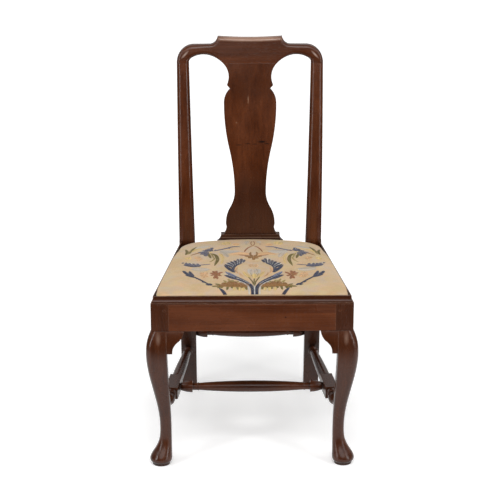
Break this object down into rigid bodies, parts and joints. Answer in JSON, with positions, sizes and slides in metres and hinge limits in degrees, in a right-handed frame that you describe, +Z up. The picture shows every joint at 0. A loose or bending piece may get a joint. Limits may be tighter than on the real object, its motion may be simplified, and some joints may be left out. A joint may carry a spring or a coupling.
{
  "type": "side chair",
  "caption": "Mahogany side chair with a yoke crest, solid vase-shaped splat, cabriole front legs on pad feet, turned stretchers and a lift-out seat covered in crewelwork fabric.",
  "frame": {"origin": "on the floor under the middle of the chair's box", "axes": "+X to the viewer's right as the chair is seen from the front, +Y to the back, +Z up"},
  "size_m": [0.5278, 0.5332, 0.992],
  "materials": {
    "mahogany": "old wax polish on reddish-brown wood",
    "secondary_wood": "unpolished pale wood, hidden in use",
    "webbing": "plain woven jute",
    "canvas": "plain linen canvas",
    "stuffing": "curled hair",
    "crewelwork": "cream cloth with wool embroidery"
  },
  "bodies": {
    "chair_frame": {"crest_rail": "mahogany", "splat": "mahogany", "splat_shoe": "mahogany", "front_seat_rail": "mahogany", "back_seat_rail": "mahogany", "front_moulding": "mahogany", "cross_stretcher": "mahogany", "back_stretcher": "mahogany", "rail_pegs": "mahogany", "left_front_leg": "mahogany", "left_rear_post": "mahogany", "left_seat_rail": "mahogany", "left_moulding": "mahogany", "left_front_bracket": "mahogany", "left_side_bracket": "mahogany", "left_stretcher": "mahogany", "right_front_leg": "mahogany", "right_rear_post": "mahogany", "right_seat_rail": "mahogany", "right_moulding": "mahogany", "right_front_bracket": "mahogany", "right_side_bracket": "mahogany", "right_stretcher": "mahogany", "left_front_corner_block": "secondary_wood", "left_back_corner_block": "secondary_wood", "right_front_corner_block": "secondary_wood", "right_back_corner_block": "secondary_wood"},
    "slip_seat": {"front_slip_rail": "secondary_wood", "back_slip_rail": "secondary_wood", "left_slip_rail": "secondary_wood", "right_slip_rail": "secondary_wood", "webbing_across": "webbing", "webbing_along": "webbing", "seat_canvas": "canvas", "seat_stuffing": "stuffing", "seat_cover": "crewelwork"}
  },
  "joints": [
    {"name": "seat_lift", "type": "slide", "parent": "chair_frame", "child": "slip_seat", "axis": [0, 0, 1], "range_m": [0, 0.15]}
  ]
}
